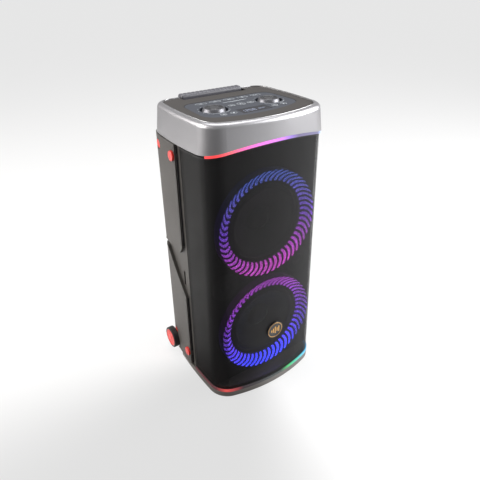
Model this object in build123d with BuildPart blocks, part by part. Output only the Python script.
"""Party speaker: a tall two-woofer cabinet on two wheels, with a pull-out handle and a control panel on top.

Millimetres, +Z up, front towards -Y. The origin is on the floor under the middle of the cabinet.
Every sub-part is its own solid, in its place in the assembly.
"""

import os

from build123d import *

# ---------------------------------------------------------------- driving dimensions
HEIGHT = 680.0  # floor to the lip of the cap
WIDTH = 297.0  # across the sides at their fullest
DEPTH = 264.0  # front of the bow to the back
BOW = 28.0  # how far the front swells forward
CROWN = 7.0  # how far each side swells outward
FRONT_RADIUS = 52.0
REAR_RADIUS = 40.0
FAR = 400.0  # larger than the whole speaker, for cutting tools

# levels
FOOT_TOP = 6.0
PLINTH_BOTTOM, PLINTH_TOP = 3.0, 17.0
STRIP_LOW, STRIP_HIGH = 17.2, 23.6  # lower light strip
SHELL_BOTTOM, SHELL_TOP = 24.0, 603.0
GRILLE_BOTTOM, GRILLE_TOP = 24.0, 640.0
CAP_EDGE_MIDDLE, CAP_EDGE_END, CAP_EDGE_REACH = 639.0, 612.5, 170.0  # the cap's lower edge is an arch across X
CAP_BOTTOM, CAP_DRAFT, CAP_ROUNDING = 600.0, 6.0, 10.0
DECK_BOTTOM, DECK_TOP = 671.0, 678.0
PANEL_BOTTOM, PANEL_TOP = 674.4, 677.6

# walls, from the outline of the body inward
CAP_OVERHANG, CAP_WALL = 6.0, 6.0
COVER_PROUD = 6.0
GRILLE_SHEET = 1.6
SHELL_INSET = 8.0
SHELL_WALL = 5.0
SHELL_PLATE = 6.0
BAFFLE_FRONT, BAFFLE_BACK = -84.0, -74.0

# drivers and their light rings
WOOFER_LEVELS = {"upper": 437.0, "lower": 168.0}
RING_OUTER, RING_INNER = 125.0, 96.0
RING_RIM, RING_THROAT = -104.0, -91.0  # the ring is a funnel, deeper at its throat
RING_SHEET = 2.5
FLANGE_RADIUS, CUTOUT_RADIUS = 104.0, 92.0
SURROUND_RADIUS, CONE_RADIUS = 88.0, 76.0
FORMER_RADIUS = 19.0
MAGNET_RADIUS = 52.0
TWEETER_X, TWEETER_RADIUS = 102.0, 26.5
TWEETER_LEVEL = sum(WOOFER_LEVELS.values()) / 2

# control panel, all centred on the speaker's middle plane
PANEL_HALF, PANEL_REAR, PANEL_FRONT, PANEL_SIDE_FRONT = 114.0, 61.0, -79.0, -52.0
KNOB_X, KNOB_Y, KNOB_RADIUS, KNOB_WELL = 68.0, -6.0, 25.0, 29.0
KNOB_TOP = 682.0
MODE_PITCH, MODE_Y = 34.5, 46.0
PLAY_PITCH, PLAY_Y = 23.5, -2.0
ROUND_KEY_X, ROUND_KEY_Y, ROUND_KEY_RADIUS = (50.0, 73.0), -52.0, 7.0
DISPLAY_HALF, DISPLAY_REAR, DISPLAY_FRONT = 35.0, -35.0, -66.0
KEY_GAP = 0.35
KEY_BOTTOM = 671.6  # under the flange that holds a key in the panel
BOARD_BOTTOM, BOARD_TOP = 663.0, 664.6

# pull handle
GRIP_HALF, GRIP_FRONT, GRIP_REAR = 78.0, 113.5, 136.5
GRIP_BOTTOM, GRIP_TOP = 655.0, 685.0
WELL_HALF, WELL_FRONT, WELL_FLOOR = 81.0, 99.0, 651.0
STEM_X, STEM_Y, STEM_WIDE, STEM_DEEP = 65.0, 119.2, 18.0, 10.0
SCALLOPS, SCALLOP_PITCH, SCALLOP_RADIUS = 14, 10.4, 3.2
STEM_LENGTH = 400.0
SLEEVE_GAP, SLEEVE_WALL, SLEEVE_BOTTOM = 0.5, 2.0, 60.0

# side covers and their round feet: (Y, level, outer face of the foot, seat of the foot, face of the cabinet)
COVER_FRONT, COVER_REAR = 1.5, 120.0
PAD_FRONT = 12.0
SIDE_FOOT_RADIUS = 11.0
SIDE_FEET = (
    (24.0, 60.0, 159.0, 150.0, 140.9),
    (24.0, 589.0, 159.0, 150.0, 140.9),
    (98.0, 73.0, 149.0, 141.5, 133.6),
    (98.0, 594.0, 149.0, 141.5, 133.6),
)

# wheels
WHEEL_Y, WHEEL_LEVEL, TYRE_RADIUS, HUB_RADIUS = 109.0, 46.0, 28.0, 24.0
WHEEL_INNER, WHEEL_OUTER = 149.6, 166.0
AXLE_RADIUS, AXLE_END = 4.0, 107.0

# back of the cabinet
REAR_HALF, REAR_LOW, REAR_HIGH = 98.0, 74.0, 566.0
JACK_HALF, JACK_LOW, JACK_HIGH = 47.0, 505.0, 550.0
JACK_RADIUS, JACK_X = 3.3, (-38.0, -16.0)
PORT_LEVEL, PORT_RADIUS, PORT_WALL, PORT_DEPTH = 430.0, 30.0, 3.0, 100.0
INLET_X, SWITCH_X, POWER_LEVEL = 36.0, -36.0, 115.0
ROCKER_HALF_WIDE, ROCKER_HALF_TALL, ROCKER_TILT = 9.0, 12.0, 6.0

os.makedirs("parts", exist_ok=True)


# ---------------------------------------------------------------- helpers
def save(name, piece):
    """Label a finished piece and write it to its own file."""
    piece.label = name
    export_step(piece, f"parts/{name}.step")


def plan(inset, level, rear_inset=None):
    """Plan outline of the body at a level, moved in by inset, and by rear_inset at the back."""
    half = WIDTH / 2 - inset
    end = half - CROWN
    front = -DEPTH / 2 + inset
    corner = front + BOW
    rear = DEPTH / 2 - (inset if rear_inset is None else rear_inset)
    middle = (corner + rear) / 2
    with BuildSketch(Plane.XY.offset(level)) as outline:
        with BuildLine():
            ThreePointArc((-end, corner), (0, front), (end, corner))
            ThreePointArc((end, corner), (half, middle), (end, rear))
            Line((end, rear), (-end, rear))
            ThreePointArc((-end, rear), (-half, middle), (-end, corner))
        make_face()
        fillet(outline.vertices().group_by(Axis.Y)[0], FRONT_RADIUS - inset)
        fillet(outline.vertices().group_by(Axis.Y)[-1], REAR_RADIUS - inset)
    return outline.sketch


def panel_plan(inset, level):
    """D-shaped outline of the control panel: straight at the back, bowed at the front."""
    half = PANEL_HALF - inset
    rear = PANEL_REAR - inset
    with BuildSketch(Plane.XY.offset(level)) as outline:
        with BuildLine():
            Line((-half + 6, rear), (half - 6, rear))
            Line((half - 6, rear), (half, PANEL_SIDE_FRONT + inset))
            ThreePointArc((half, PANEL_SIDE_FRONT + inset), (0, PANEL_FRONT + inset), (-half, PANEL_SIDE_FRONT + inset))
            Line((-half, PANEL_SIDE_FRONT + inset), (-half + 6, rear))
        make_face()
        fillet(outline.vertices().sort_by(Axis.Y)[:2], 34 - inset)
        fillet(outline.vertices().sort_by(Axis.Y)[-2:], 24 - inset)
    return outline.sketch


def box(low, high, mode=Mode.ADD):
    """A box between two opposite corners."""
    with Locations(tuple((a + b) / 2 for a, b in zip(low, high))):
        Box(*(abs(b - a) for a, b in zip(low, high)), mode=mode)


def rod(start, direction, radius, length, mode=Mode.ADD):
    """A cylinder from a point along a direction."""
    with Locations(Plane(start, z_dir=direction)):
        Cylinder(radius, length, align=(Align.CENTER, Align.CENTER, Align.MIN), mode=mode)


def band(outer, inner, low, high):
    """A closed wall between two insets of the body's outline."""
    with BuildPart() as wall:
        extrude(plan(outer, low), amount=high - low)
        extrude(plan(inner, low), amount=high - low, mode=Mode.SUBTRACT)
    return wall.part


def cut_at_cap_edge(gap, keep_below=True):
    """Trim the part being built along the arch of the cap's lower edge, leaving a gap under it."""
    low, high = CAP_EDGE_END - gap, CAP_EDGE_MIDDLE - gap
    limit = 2 * HEIGHT if keep_below else 0
    with BuildSketch(Plane.XZ) as face:
        with BuildLine():
            ThreePointArc((-CAP_EDGE_REACH, low), (0, high), (CAP_EDGE_REACH, low))
            Polyline((CAP_EDGE_REACH, low), (CAP_EDGE_REACH, limit), (-CAP_EDGE_REACH, limit), (-CAP_EDGE_REACH, low))
        make_face()
    extrude(face.sketch, amount=FAR, both=True, mode=Mode.SUBTRACT)


def turned(profile, centre, direction=(0, 1, 0)):
    """Turn a profile of (radius, distance along the axis) points about an axis."""
    with BuildSketch(Plane(centre, x_dir=(1, 0, 0), z_dir=(0, 0, 1) if direction[1] else (0, -1, 0))) as section:
        with BuildLine():
            Polyline(*profile, close=True)
        make_face()
    revolve(section.sketch, axis=Axis(centre, direction))


# ---------------------------------------------------------------- cabinet
with BuildPart() as cabinet_shell:
    extrude(plan(SHELL_INSET, SHELL_BOTTOM, 0), amount=SHELL_TOP - SHELL_BOTTOM)
    cavity_height = SHELL_TOP - SHELL_BOTTOM - 2 * SHELL_PLATE
    cavity = plan(SHELL_INSET + SHELL_WALL, SHELL_BOTTOM + SHELL_PLATE, SHELL_WALL)
    extrude(cavity, amount=cavity_height, mode=Mode.SUBTRACT)
    box((-FAR, -FAR, 0), (FAR, BAFFLE_BACK, HEIGHT), Mode.SUBTRACT)
    box((-REAR_HALF - 0.4, 120, REAR_LOW - 0.4), (REAR_HALF + 0.4, 140, REAR_HIGH + 0.4), Mode.SUBTRACT)
    for side in (-1, 1):
        rod((side * AXLE_END, WHEEL_Y, WHEEL_LEVEL), (side, 0, 0), 9, 24.5)
        rod((side * (AXLE_END - 1), WHEEL_Y, WHEEL_LEVEL), (side, 0, 0), AXLE_RADIUS + 0.03, 60, Mode.SUBTRACT)
        sleeve_wide, sleeve_deep = STEM_WIDE + 2 * SLEEVE_WALL + 1.6, STEM_DEEP + 2 * SLEEVE_WALL + 1.6
        with Locations((side * STEM_X, STEM_Y, SHELL_TOP)):
            Box(sleeve_wide, sleeve_deep, 30, mode=Mode.SUBTRACT)
        for y, z, face, seat, wall in SIDE_FEET:
            rod((side * (wall - 12), y, z), (side, 0, 0), 2.1, 20, Mode.SUBTRACT)
save("cabinet_shell", cabinet_shell.part)

with BuildPart() as front_baffle:
    extrude(plan(GRILLE_SHEET + 0.3, GRILLE_BOTTOM + 0.5), amount=GRILLE_TOP - GRILLE_BOTTOM - 1)
    box((-FAR, BAFFLE_FRONT, 0), (FAR, BAFFLE_BACK - 0.1, HEIGHT), Mode.INTERSECT)
    for z in WOOFER_LEVELS.values():
        rod((0, BAFFLE_FRONT - 1, z), (0, 1, 0), CUTOUT_RADIUS, 20, Mode.SUBTRACT)
    for side in (-1, 1):
        rod((side * TWEETER_X, BAFFLE_FRONT - 1, TWEETER_LEVEL), (0, 1, 0), TWEETER_RADIUS + 0.3, 20, Mode.SUBTRACT)
    cut_at_cap_edge(7)
save("front_baffle", front_baffle.part)

with BuildPart() as front_grille:
    add(band(0, GRILLE_SHEET, GRILLE_BOTTOM, GRILLE_TOP))
    box((-FAR, -FAR, 0), (FAR, -1.5, HEIGHT), Mode.INTERSECT)
    cut_at_cap_edge(6)
save("front_grille", front_grille.part)

with BuildPart() as grille_emblem:
    rod((0, -DEPTH / 2 - 0.1, WOOFER_LEVELS["lower"]), (0, -1, 0), 22, 3)
    fillet(grille_emblem.faces().sort_by(Axis.Y)[0].edges(), 1)
save("grille_emblem", grille_emblem.part)

with BuildPart() as light_strip_top:
    add(band(-3, 3, CAP_BOTTOM, CAP_EDGE_MIDDLE))
    box((-FAR, -FAR, 0), (FAR, -92, HEIGHT), Mode.INTERSECT)
    cut_at_cap_edge(0.3)
    cut_at_cap_edge(5.7, keep_below=False)
save("light_strip_top", light_strip_top.part)

with BuildPart() as light_strip_bottom:
    add(band(-2, 3, STRIP_LOW, STRIP_HIGH))
    box((-FAR, -FAR, 0), (FAR, -1.5, HEIGHT), Mode.INTERSECT)
save("light_strip_bottom", light_strip_bottom.part)

with BuildPart() as base_plinth:
    extrude(plan(-2, PLINTH_BOTTOM), amount=PLINTH_TOP - PLINTH_BOTTOM)
    extrude(plan(8.2, PLINTH_TOP, 2), amount=STRIP_HIGH + 0.2 - PLINTH_TOP)
    extrude(plan(6, PLINTH_BOTTOM), amount=9, mode=Mode.SUBTRACT)
    foot_spots = [(x, y) for x in (-98, 98) for y in (-78, 72)]
    for x, y in foot_spots:
        rod((x, y, PLINTH_BOTTOM), (0, 0, 1), 16, 10)
        rod((x, y, PLINTH_BOTTOM), (0, 0, 1), 12.2, FOOT_TOP - PLINTH_BOTTOM, Mode.SUBTRACT)
    with BuildSketch(Plane.YZ) as tilt_clearance:
        with BuildLine():
            Polyline((94, 0), (FAR, 0), (FAR, 28), (128, 28), close=True)
        make_face()
    extrude(tilt_clearance.sketch, amount=FAR, both=True, mode=Mode.SUBTRACT)
    for side in (-1, 1):
        box((side * 132, 76, 0), (side * 160, 140, 40), Mode.SUBTRACT)
save("base_plinth", base_plinth.part)

with BuildPart() as rubber_feet:
    for x, y in foot_spots:
        rod((x, y, 0), (0, 0, 1), 12, FOOT_TOP)
save("rubber_feet", rubber_feet.part)

# ---------------------------------------------------------------- cap and deck
with BuildPart() as top_cap:
    extrude(plan(-CAP_OVERHANG, CAP_BOTTOM), amount=HEIGHT - CAP_BOTTOM, taper=CAP_DRAFT)
    fillet(top_cap.faces().sort_by(Axis.Z)[-1].edges(), CAP_ROUNDING)
    extrude(plan(CAP_WALL - CAP_OVERHANG, CAP_BOTTOM), amount=68, taper=CAP_DRAFT, mode=Mode.SUBTRACT)
    extrude(plan(20, 660), amount=30, mode=Mode.SUBTRACT)
    extrude(plan(13, DECK_BOTTOM), amount=30, mode=Mode.SUBTRACT)
    cut_at_cap_edge(0, keep_below=False)
    box((-WELL_HALF - 4.5, WELL_FRONT - 3.5, WELL_FLOOR - 3.5), (WELL_HALF + 4.5, 134, 672), Mode.SUBTRACT)
    box((-WELL_HALF, WELL_FRONT, WELL_FLOOR), (WELL_HALF, 150, 700), Mode.SUBTRACT)
save("top_cap", top_cap.part)

with BuildPart() as top_deck:
    extrude(plan(13.4, DECK_BOTTOM + 0.05), amount=DECK_TOP - DECK_BOTTOM)
    box((-WELL_HALF - 3, WELL_FRONT - 3, WELL_FLOOR - 3), (WELL_HALF + 3, 129, DECK_BOTTOM + 0.6))
    box((-WELL_HALF, WELL_FRONT, WELL_FLOOR), (WELL_HALF, 150, 700), Mode.SUBTRACT)
    extrude(panel_plan(-0.9, PANEL_BOTTOM), amount=20, mode=Mode.SUBTRACT)
    extrude(panel_plan(6, DECK_BOTTOM - 1), amount=20, mode=Mode.SUBTRACT)
    for side in (-1, 1):
        with Locations((side * STEM_X, STEM_Y, WELL_FLOOR)):
            Box(STEM_WIDE + 1.2, STEM_DEEP + 1.2, 20, mode=Mode.SUBTRACT)
save("top_deck", top_deck.part)


def key_outline(kind, x, y, level, grow=0.0):
    """Outline of one key cap, in its place."""
    with BuildSketch(Plane.XY.offset(level)) as outline:
        with Locations((x, y)):
            if kind == "pill":
                SlotOverall(27 + 2 * grow, 10.5 + 2 * grow)
            elif kind == "square":
                RectangleRounded(16 + 2 * grow, 13.5 + 2 * grow, 4.5 + grow)
            elif kind == "play":
                Circle(9.5 + grow)
            else:
                Circle(ROUND_KEY_RADIUS + grow)
    return outline.sketch


keys = {f"mode_key_{i + 1}": ("pill", (i - 2) * MODE_PITCH, MODE_Y) for i in range(5)}
keys["previous_key"] = ("square", -PLAY_PITCH, PLAY_Y)
keys["play_key"] = ("play", 0, PLAY_Y)
keys["next_key"] = ("square", PLAY_PITCH, PLAY_Y)
for letter, x in zip("abcd", (-ROUND_KEY_X[1], -ROUND_KEY_X[0], ROUND_KEY_X[0], ROUND_KEY_X[1])):
    keys[f"round_key_{letter}"] = ("round", x, ROUND_KEY_Y)
POST_SPOTS = ((-96, 30), (96, 30), (-34, -8), (34, -8))

with BuildPart() as control_panel:
    extrude(panel_plan(0, PANEL_BOTTOM), amount=PANEL_TOP - PANEL_BOTTOM)
    for side in (-1, 1):
        rod((side * KNOB_X, KNOB_Y, 668), (0, 0, 1), KNOB_WELL + 1.6, PANEL_TOP - 668 - 1)
        rod((side * KNOB_X, KNOB_Y, 669.8), (0, 0, 1), KNOB_WELL, 20, Mode.SUBTRACT)
        rod((side * KNOB_X, KNOB_Y, 660), (0, 0, 1), 3.06, 20, Mode.SUBTRACT)
    for kind, x, y in keys.values():
        extrude(key_outline(kind, x, y, PANEL_BOTTOM - 1, KEY_GAP), amount=10, mode=Mode.SUBTRACT)
    display_low = (-DISPLAY_HALF - 0.2, DISPLAY_FRONT - 0.2, PANEL_BOTTOM - 1)
    display_high = (DISPLAY_HALF + 0.2, DISPLAY_REAR + 0.2, PANEL_TOP + 1)
    box(display_low, display_high, Mode.SUBTRACT)
    for x, y in POST_SPOTS[:2]:
        rod((x, y, BOARD_TOP + 0.02), (0, 0, 1), 3.5, PANEL_BOTTOM - BOARD_TOP)
save("control_panel", control_panel.part)

with BuildPart() as display_window:
    box((-DISPLAY_HALF, DISPLAY_FRONT, 674.6), (DISPLAY_HALF, DISPLAY_REAR, PANEL_TOP - 0.2))
save("display_window", display_window.part)

with BuildPart() as control_board:
    extrude(panel_plan(10, BOARD_BOTTOM), amount=BOARD_TOP - BOARD_BOTTOM)
    for side in (-1, 1):
        rod((side * KNOB_X, KNOB_Y, BOARD_TOP), (0, 0, 1), 6, 3.2)
        rod((side * KNOB_X, KNOB_Y, BOARD_BOTTOM - 1), (0, 0, 1), 3.06, 12, Mode.SUBTRACT)
    for kind, x, y in keys.values():
        rod((x, y, BOARD_TOP), (0, 0, 1), 2.5, 6)
    box((-DISPLAY_HALF + 2, DISPLAY_FRONT + 2, BOARD_TOP), (DISPLAY_HALF - 2, DISPLAY_REAR - 2, 674.4))
save("control_board", control_board.part)

for name, (kind, x, y) in keys.items():
    with BuildPart() as key:
        extrude(key_outline(kind, x, y, KEY_BOTTOM), amount=PANEL_TOP + 0.4 - KEY_BOTTOM)
        extrude(key_outline(kind, x, y, KEY_BOTTOM, 1.1), amount=2.2)
    save(name, key.part)

knob_profile = (
    (0, 665), (3, 665), (3, 670.9), (KNOB_RADIUS, 670.9), (KNOB_RADIUS, 674.5), (KNOB_RADIUS - 3.6, KNOB_TOP),
    (KNOB_RADIUS - 5.6, KNOB_TOP), (KNOB_RADIUS - 7, KNOB_TOP - 1.6), (10, KNOB_TOP - 1.8), (9, KNOB_TOP - 0.8),
    (0, KNOB_TOP - 1.2),
)
for name, side in (("knob_left", -1), ("knob_right", 1)):
    with BuildPart() as knob:
        turned(knob_profile, (side * KNOB_X, KNOB_Y, 0), (0, 0, 1))
    save(name, knob.part)

# ---------------------------------------------------------------- drivers
for place, level in WOOFER_LEVELS.items():
    centre = (0, 0, level)
    front = BAFFLE_FRONT - 5

    with BuildPart() as light_ring:
        turned(
            (
                (RING_OUTER, RING_RIM), (RING_INNER, RING_THROAT), (RING_INNER, front - 0.1),
                (RING_INNER + 2, front - 0.1), (RING_INNER + 2, RING_THROAT + RING_SHEET - 0.5),
                (RING_OUTER - 3, RING_RIM + RING_SHEET), (RING_OUTER - 3, BAFFLE_FRONT - 0.1),
                (RING_OUTER, BAFFLE_FRONT - 0.1),
            ),
            centre,
        )
    save(f"light_ring_{place}", light_ring.part)

    with BuildPart() as basket:
        turned(
            (
                (SURROUND_RADIUS + 0.3, front), (FLANGE_RADIUS, front), (FLANGE_RADIUS, BAFFLE_FRONT - 0.05),
                (CUTOUT_RADIUS - 0.4, BAFFLE_FRONT - 0.05), (CUTOUT_RADIUS - 0.4, -66), (50, -35), (50, -31),
                (24, -31), (24, -35), (46, -35), (SURROUND_RADIUS, -66), (SURROUND_RADIUS, BAFFLE_FRONT),
            ),
            centre,
        )
        with Locations(Plane(centre, z_dir=(0, 1, 0))):
            with PolarLocations(68, 6):
                Box(34, 34, 38, align=(Align.CENTER, Align.CENTER, Align.MAX), mode=Mode.SUBTRACT)
    save(f"woofer_basket_{place}", basket.part)

    with BuildPart() as magnet:
        turned(((0, -30.9), (16.5, -30.9), (16.5, -12), (21, -12), (21, -30.9), (MAGNET_RADIUS, -30.9),
                (MAGNET_RADIUS, -4), (0, -4)), centre)
    save(f"woofer_magnet_{place}", magnet.part)

    with BuildPart() as cone:
        turned(((FORMER_RADIUS, -20), (FORMER_RADIUS, -58), (CONE_RADIUS, -86), (CONE_RADIUS, -87.5),
                (30, -66), (20, -72), (0, -75), (0, -73.5), (FORMER_RADIUS - 1, -69), (FORMER_RADIUS - 1, -20)), centre)
    save(f"woofer_cone_{place}", cone.part)

    with BuildPart() as surround:
        turned(((CONE_RADIUS + 0.3, -86.6), (CONE_RADIUS + 3, -89.8), (SURROUND_RADIUS - 6, -91),
                (SURROUND_RADIUS - 2.5, -89.5), (SURROUND_RADIUS, -86.5), (SURROUND_RADIUS, -84.5),
                (SURROUND_RADIUS - 4, -87.5), (SURROUND_RADIUS - 6, -89), (CONE_RADIUS + 3.5, -88),
                (CONE_RADIUS + 0.3, -85)), centre)
    save(f"woofer_surround_{place}", surround.part)

for name, side in (("tweeter_left", -1), ("tweeter_right", 1)):
    with BuildPart() as tweeter:
        turned(((0, -86), (11, -83.5), (13, -84), (16, -87), (33, -87), (33, BAFFLE_FRONT - 0.05),
                (TWEETER_RADIUS, BAFFLE_FRONT - 0.05), (TWEETER_RADIUS, -66), (0, -66)),
               (side * TWEETER_X, 0, TWEETER_LEVEL))
    save(name, tweeter.part)

# ---------------------------------------------------------------- side covers and their feet
with BuildPart() as cover_skin:
    add(band(1, SHELL_INSET - 0.2, STRIP_LOW, CAP_EDGE_MIDDLE))
    box((-FAR, COVER_FRONT, 0), (-100, COVER_REAR, HEIGHT), Mode.INTERSECT)
with BuildPart() as cover_pads:
    add(band(-COVER_PROUD, 2, STRIP_LOW, CAP_EDGE_MIDDLE))
    with BuildSketch(Plane.YZ) as pad_outline:
        with BuildLine():
            Polyline((PAD_FRONT, 22), (PAD_FRONT, 236), (98, 338), (COVER_REAR - 2, 338), (COVER_REAR - 2, 22), close=True)
        make_face()
        with BuildLine():
            Polyline((PAD_FRONT, 372), (26, 354), (COVER_REAR - 2, 354), (COVER_REAR - 2, 640), (PAD_FRONT, 640), close=True)
        make_face()
        fillet(pad_outline.vertices().group_by(Axis.X)[0], 6)
    extrude(pad_outline.sketch, amount=-FAR, mode=Mode.INTERSECT)
with BuildPart() as cover_hollow:
    add(band(-COVER_PROUD + 3, 30, 26, 592))
    box((-FAR, PAD_FRONT + 4, 26), (-100, COVER_REAR - 6, 232), Mode.INTERSECT)
    add(band(-COVER_PROUD + 3, 30, 380, 590))
    box((-FAR, PAD_FRONT + 4, 26), (-100, COVER_REAR - 6, 590), Mode.INTERSECT)

with BuildPart() as side_cover_left:
    add(cover_skin.part)
    add(cover_pads.part)
    add(cover_hollow.part, mode=Mode.SUBTRACT)
    for y, z, face, seat, wall in SIDE_FEET:
        rod((-wall, y, z), (-1, 0, 0), SIDE_FOOT_RADIUS + 3, face - wall)
    extrude(plan(-COVER_PROUD, 0), amount=HEIGHT, mode=Mode.INTERSECT)
    extrude(plan(SHELL_INSET - 0.2, 0, -0.2), amount=HEIGHT, mode=Mode.SUBTRACT)
    for y, z, face, seat, wall in SIDE_FEET:
        rod((-seat, y, z), (-1, 0, 0), SIDE_FOOT_RADIUS + 0.4, 30, Mode.SUBTRACT)
        rod((-seat + 20, y, z), (-1, 0, 0), 2.1, 30, Mode.SUBTRACT)
        rod((-seat + 2.6, y, z), (-1, 0, 0), 3.8, 30, Mode.SUBTRACT)
    rod((-100, WHEEL_Y, WHEEL_LEVEL), (-1, 0, 0), 9.6, 33, Mode.SUBTRACT)
    rod((-100, WHEEL_Y, WHEEL_LEVEL), (-1, 0, 0), AXLE_RADIUS + 1, 60, Mode.SUBTRACT)
    rod((-WHEEL_INNER + 0.6, WHEEL_Y, WHEEL_LEVEL), (-1, 0, 0), TYRE_RADIUS + 1.5, 20, Mode.SUBTRACT)
    box((-160, 20, 264), (-130, 27, 302), Mode.SUBTRACT)
    cut_at_cap_edge(1.5)
save("side_cover_left", side_cover_left.part)

with BuildPart() as side_cover_right:
    mirror(side_cover_left.part, about=Plane.YZ)
save("side_cover_right", side_cover_right.part)

with BuildPart() as side_feet:
    for side in (-1, 1):
        for y, z, face, seat, wall in SIDE_FEET:
            rod((side * (seat + 0.05), y, z), (side, 0, 0), SIDE_FOOT_RADIUS, face - seat)
    fillet(side_feet.edges().filter_by(GeomType.CIRCLE).filter_by(lambda e: abs(e.center().X) > 148.9), 1.2)
save("side_feet", side_feet.part)

with BuildPart() as cover_screws:
    for side in (-1, 1):
        for y, z, face, seat, wall in SIDE_FEET:
            rod((side * (seat - 2.5), y, z), (side, 0, 0), 3.6, 2.4)
            rod((side * (seat - 14), y, z), (side, 0, 0), 2, 12)
save("cover_screws", cover_screws.part)

# ---------------------------------------------------------------- wheels
with BuildPart() as wheel_axles:
    for side in (-1, 1):
        rod((side * AXLE_END, WHEEL_Y, WHEEL_LEVEL), (side, 0, 0), AXLE_RADIUS, WHEEL_OUTER - 5 - AXLE_END)
        rod((side * (WHEEL_OUTER - 5), WHEEL_Y, WHEEL_LEVEL), (side, 0, 0), 6.5, 2)
save("wheel_axles", wheel_axles.part)

for name, side in (("left", -1), ("right", 1)):
    spot = (side * WHEEL_INNER, WHEEL_Y, WHEEL_LEVEL)
    outward = (side, 0, 0)
    with BuildPart() as hub:
        rod(spot, outward, HUB_RADIUS, WHEEL_OUTER - WHEEL_INNER)
        rod((side * (WHEEL_OUTER - 5.2), WHEEL_Y, WHEEL_LEVEL), outward, 8, 3.2, Mode.SUBTRACT)
        rod(spot, outward, AXLE_RADIUS + 0.05, WHEEL_OUTER - WHEEL_INNER - 3, Mode.SUBTRACT)
    save(f"wheel_{name}", hub.part)

    with BuildPart() as tyre:
        rod(spot, outward, TYRE_RADIUS, WHEEL_OUTER - WHEEL_INNER - 0.6)
        fillet(tyre.edges(), 1.6)
        rod(spot, outward, HUB_RADIUS, 30, Mode.SUBTRACT)
    save(f"tyre_{name}", tyre.part)

# ---------------------------------------------------------------- pull handle
SLEEVE_WIDE, SLEEVE_DEEP = STEM_WIDE + 2 * SLEEVE_GAP, STEM_DEEP + 2 * SLEEVE_GAP
with BuildPart() as handle_sleeves:
    for side in (-1, 1):
        with Locations((side * STEM_X, STEM_Y, SLEEVE_BOTTOM)):
            Box(SLEEVE_WIDE + 2 * SLEEVE_WALL, SLEEVE_DEEP + 2 * SLEEVE_WALL, SHELL_TOP - SLEEVE_BOTTOM,
                align=(Align.CENTER, Align.CENTER, Align.MIN))
            Box(SLEEVE_WIDE, SLEEVE_DEEP, SHELL_TOP - SLEEVE_BOTTOM + 1,
                align=(Align.CENTER, Align.CENTER, Align.MIN), mode=Mode.SUBTRACT)
save("handle_sleeves", handle_sleeves.part)

with BuildPart() as handle_stems:
    for side in (-1, 1):
        with Locations((side * STEM_X, STEM_Y, GRIP_BOTTOM - STEM_LENGTH)):
            Box(STEM_WIDE, STEM_DEEP, STEM_LENGTH, align=(Align.CENTER, Align.CENTER, Align.MIN))
    fillet(handle_stems.edges().filter_by(Axis.Z), 2.5)
save("handle_stems", handle_stems.part)

with BuildPart() as handle_grip:
    box((-GRIP_HALF, GRIP_FRONT, GRIP_BOTTOM), (GRIP_HALF, GRIP_REAR, GRIP_TOP))
    fillet(handle_grip.edges().filter_by(Axis.X).group_by(Axis.Z)[-1], 7)
    fillet(handle_grip.edges().filter_by(Axis.Z), 4)
    box((-50, GRIP_FRONT + 5, GRIP_BOTTOM - 1), (50, GRIP_REAR - 4, GRIP_TOP - 8), Mode.SUBTRACT)
    box((-18.5, GRIP_FRONT - 1, 663.5), (18.5, GRIP_FRONT + 6, 674.5), Mode.SUBTRACT)
    for i in range(SCALLOPS):
        x = (i - (SCALLOPS - 1) / 2) * SCALLOP_PITCH
        rod((x, GRIP_FRONT - 1, GRIP_TOP + 1.6), (0, 1, 0), SCALLOP_RADIUS, 40, Mode.SUBTRACT)
save("handle_grip", handle_grip.part)

with BuildPart() as handle_button:
    box((-18, GRIP_FRONT - 3.2, 664), (18, GRIP_FRONT + 4, 674))
    fillet(handle_button.faces().sort_by(Axis.Y)[0].edges(), 1.5)
save("handle_button", handle_button.part)

# ---------------------------------------------------------------- back and insides
BACK = DEPTH / 2
with BuildPart() as rear_panel:
    box((-REAR_HALF, BACK - SHELL_WALL, REAR_LOW), (REAR_HALF, BACK - 0.3, REAR_HIGH))
    box((-JACK_HALF - 0.2, 120, JACK_LOW - 0.2), (JACK_HALF + 0.2, 140, JACK_HIGH + 0.2), Mode.SUBTRACT)
    rod((0, 120, PORT_LEVEL), (0, 1, 0), PORT_RADIUS + 8, 20, Mode.SUBTRACT)
    box((INLET_X - 14.2, 120, POWER_LEVEL - 10.2), (INLET_X + 14.2, 140, POWER_LEVEL + 10.2), Mode.SUBTRACT)
    rocker_low = (SWITCH_X - ROCKER_HALF_WIDE - 0.5, 120, POWER_LEVEL - ROCKER_HALF_TALL - 1.4)
    rocker_high = (SWITCH_X + ROCKER_HALF_WIDE + 0.5, 140, POWER_LEVEL + ROCKER_HALF_TALL + 1.4)
    box(rocker_low, rocker_high, Mode.SUBTRACT)
    rod((SWITCH_X - 12, BACK - 2.6, POWER_LEVEL), (1, 0, 0), 1.55, 24, Mode.SUBTRACT)
save("rear_panel", rear_panel.part)

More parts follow.
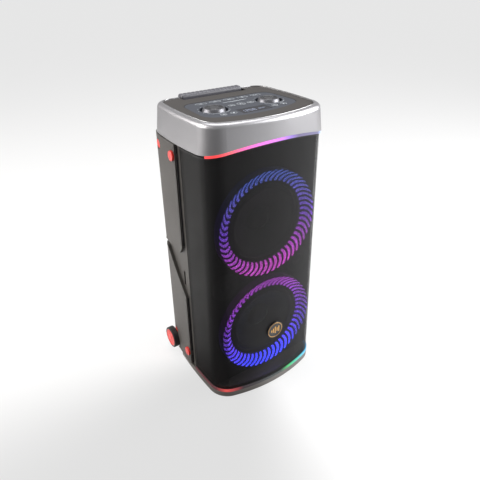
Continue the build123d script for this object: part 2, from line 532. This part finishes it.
with BuildPart() as jack_plate:
    box((-JACK_HALF, BACK - 6, JACK_LOW), (JACK_HALF, BACK - 0.3, JACK_HIGH))
    box((-JACK_HALF - 3, BACK - 7, JACK_LOW - 3), (JACK_HALF + 3, BACK - SHELL_WALL - 0.05, JACK_HIGH + 3))
    middle = (JACK_LOW + JACK_HIGH) / 2
    for x in JACK_X:
        rod((x, BACK - 5, middle), (0, -1, 0), 8, 12)
        rod((x, BACK - 18, middle), (0, 1, 0), JACK_RADIUS, 20, Mode.SUBTRACT)
    rod((6, BACK - 5, middle), (0, -1, 0), 5, 9)
    rod((6, BACK - 15, middle), (0, 1, 0), 1.8, 20, Mode.SUBTRACT)
    box((20, BACK - 22, middle - 4.5), (36, BACK - 5, middle + 4.5))
    box((21.5, BACK - 20, middle - 2.9), (34.5, BACK, middle + 2.9), Mode.SUBTRACT)
save("jack_plate", jack_plate.part)

with BuildPart() as power_inlet:
    box((INLET_X - 14, BACK - 26, POWER_LEVEL - 10), (INLET_X + 14, BACK, POWER_LEVEL + 10))
    box((INLET_X - 17, BACK - 0.2, POWER_LEVEL - 13), (INLET_X + 17, BACK + 1.8, POWER_LEVEL + 13))
    box((INLET_X - 12, BACK - 22, POWER_LEVEL - 8), (INLET_X + 12, BACK + 4, POWER_LEVEL + 8), Mode.SUBTRACT)
    for x in (-7, 0, 7):
        with Locations((INLET_X + x, BACK - 14, POWER_LEVEL + (3 if x == 0 else -2))):
            Box(2, 16, 4)
save("power_inlet", power_inlet.part)

with BuildPart() as power_switch:
    with Locations(Plane((SWITCH_X, BACK - 2.6, POWER_LEVEL), x_dir=(1, 0, 0), z_dir=(0, 1, 0)).rotated((ROCKER_TILT, 0, 0))):
        Box(2 * ROCKER_HALF_WIDE, 2 * ROCKER_HALF_TALL, 7)
    rod((SWITCH_X - 11, BACK - 2.6, POWER_LEVEL), (1, 0, 0), 1.5, 22)
save("power_switch", power_switch.part)

with BuildPart() as port_tube:
    turned(((PORT_RADIUS, BACK - PORT_DEPTH), (PORT_RADIUS, BACK - 8), (PORT_RADIUS + 5, BACK - 0.3),
            (PORT_RADIUS + 7.8, BACK - 0.3), (PORT_RADIUS + 7.8, BACK - 4), (PORT_RADIUS + PORT_WALL, BACK - 9),
            (PORT_RADIUS + PORT_WALL, BACK - PORT_DEPTH)), (0, 0, PORT_LEVEL))
save("port_tube", port_tube.part)

with BuildPart() as amplifier_module:
    box((-52, 84, 215), (52, 85.6, 375))
    box((-48, 85.6, 225), (48, 90, 365))
    for i in range(9):
        box((-46 + i * 11, 90, 225), (-43.5 + i * 11, 112, 365))
save("amplifier_module", amplifier_module.part)

with BuildPart() as battery_pack:
    box((-80, 10, SHELL_BOTTOM + SHELL_PLATE + 0.1), (80, 75, 100))
    fillet(battery_pack.edges().filter_by(Axis.X), 6)
save("battery_pack", battery_pack.part)
